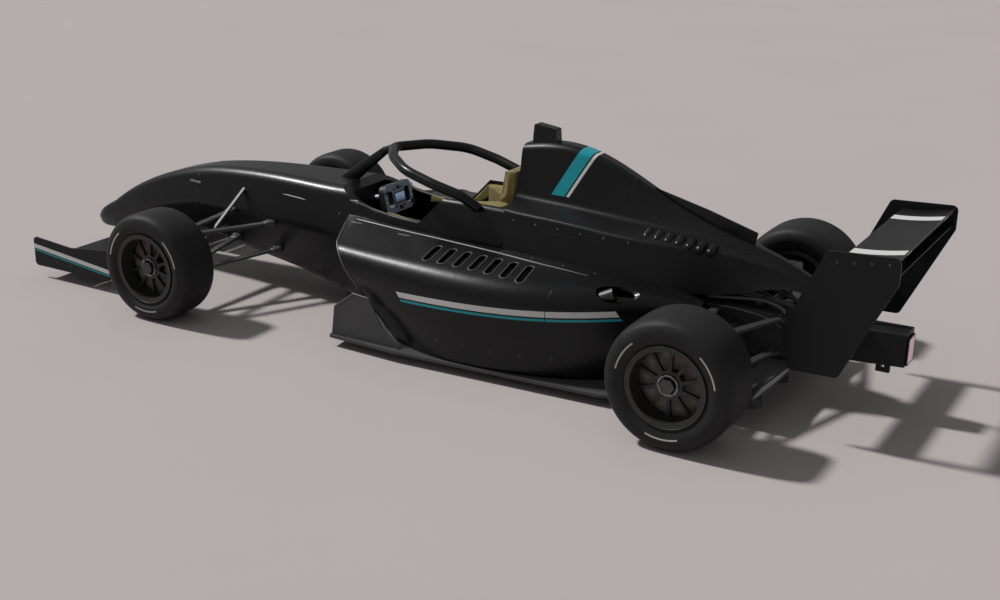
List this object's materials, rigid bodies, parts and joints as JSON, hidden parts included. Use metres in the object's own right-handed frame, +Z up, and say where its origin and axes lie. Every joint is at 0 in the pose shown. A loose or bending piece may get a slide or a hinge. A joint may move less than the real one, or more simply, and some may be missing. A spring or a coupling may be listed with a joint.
{
  "type": "open wheel racing car",
  "caption": "Single seat open wheel racing car with a carbon tub, halo, front and rear wings, sidepods, shark fin and slick tyres on spoked rims; steers and rolls.",
  "frame": {"origin": "on the ground below the middle of the car's length and width", "axes": "+X forward along the car, +Y to its left, +Z up"},
  "size_m": [4.88, 1.85, 1.0847],
  "materials": {
    "paint": "gloss black lacquer over carbon composite",
    "wing": "satin black carbon composite",
    "floor": "bare carbon composite",
    "plank": "worn composite wood plank",
    "pad": "olive covered foam",
    "column": "satin",
    "grip": "moulded grips around a dark screen",
    "casting": "cast",
    "exhaust": "heat tinted",
    "crash": "satin black carbon composite",
    "lamp": "pale red lens",
    "arm": "satin grey",
    "tyre": "slick rubber",
    "rim": "satin black",
    "steel": "machined",
    "upright": "machined"
  },
  "bodies": {
    "chassis": {"camera_pod": "paint", "cockpit_surround": "pad", "crash_structure": "crash", "diffuser": "floor", "engine_block": "casting", "engine_cover": "paint", "exhaust_pipe": "exhaust", "floor": "floor", "floor_vanes": "floor", "front_lower_wishbones": "arm", "front_upper_wishbones": "arm", "front_wing_endplates": "wing", "front_wing_flaps": "wing", "front_wing_main_plane": "wing", "front_wing_pylons": "wing", "gearbox": "casting", "halo": "paint", "monocoque": "paint", "nose_cone": "paint", "plank": "plank", "radiators": "casting", "rain_light": "lamp", "rear_beam_wing": "wing", "rear_lower_wishbones": "arm", "rear_upper_wishbones": "arm", "rear_upright_left": "upright", "rear_upright_right": "upright", "rear_wing_endplates": "wing", "rear_wing_flap": "wing", "rear_wing_main_plane": "wing", "rear_wing_pylon": "wing", "seat": "floor", "shark_fin": "paint", "sidepod_left": "paint", "sidepod_right": "paint", "steering_column": "column", "suspension_rods": "arm"},
    "knuckle_left": {"front_upright_left": "upright"},
    "knuckle_right": {"front_upright_right": "upright"},
    "wheel_front_left": {"hub_front_left": "steel", "tyre_front_left": "tyre", "wheel_front_left": "rim"},
    "wheel_front_right": {"hub_front_right": "steel", "tyre_front_right": "tyre", "wheel_front_right": "rim"},
    "wheel_rear_left": {"hub_rear_left": "steel", "tyre_rear_left": "tyre", "wheel_rear_left": "rim"},
    "wheel_rear_right": {"hub_rear_right": "steel", "tyre_rear_right": "tyre", "wheel_rear_right": "rim"},
    "steering_rack": {"steering_rack": "arm"},
    "steering_wheel": {"steering_wheel": "grip"}
  },
  "joints": [
    {"name": "steer_left", "type": "hinge", "parent": "chassis", "child": "knuckle_left", "pos_m": [1.215, 0.715, 0.28], "axis": [0, 0, 1], "range_deg": [-18, 18]},
    {"name": "steer_right", "type": "hinge", "parent": "chassis", "child": "knuckle_right", "pos_m": [1.215, -0.715, 0.28], "axis": [0, 0, 1], "range_deg": [-18.05, 18.05]},
    {"name": "rack_slide", "type": "slide", "parent": "chassis", "child": "steering_rack", "axis": [0, 1, 0], "range_m": [-0.0326, 0.0326]},
    {"name": "steering_wheel_turn", "type": "hinge", "parent": "chassis", "child": "steering_wheel", "pos_m": [0.27, 0, 0.598], "axis": [-0.9781, 0, 0.2079], "range_deg": [-180, 180]},
    {"name": "spin_front_left", "type": "hinge", "parent": "knuckle_left", "child": "wheel_front_left", "pos_m": [1.215, 0.79, 0.28], "axis": [0, 1, 0], "continuous": true},
    {"name": "spin_front_right", "type": "hinge", "parent": "knuckle_right", "child": "wheel_front_right", "pos_m": [1.215, -0.79, 0.28], "axis": [0, 1, 0], "continuous": true},
    {"name": "spin_rear_left", "type": "hinge", "parent": "chassis", "child": "wheel_rear_left", "pos_m": [-1.66, 0.775, 0.29], "axis": [0, 1, 0], "continuous": true},
    {"name": "spin_rear_right", "type": "hinge", "parent": "chassis", "child": "wheel_rear_right", "pos_m": [-1.66, -0.775, 0.29], "axis": [0, 1, 0], "continuous": true}
  ],
  "couplings": [
    {"joint": "steer_right", "follows": "steer_left", "ratio": 1},
    {"joint": "rack_slide", "follows": "steer_left", "m_per_rad": 0.10328},
    {"joint": "steering_wheel_turn", "follows": "steer_left", "ratio": 9.9}
  ]
}
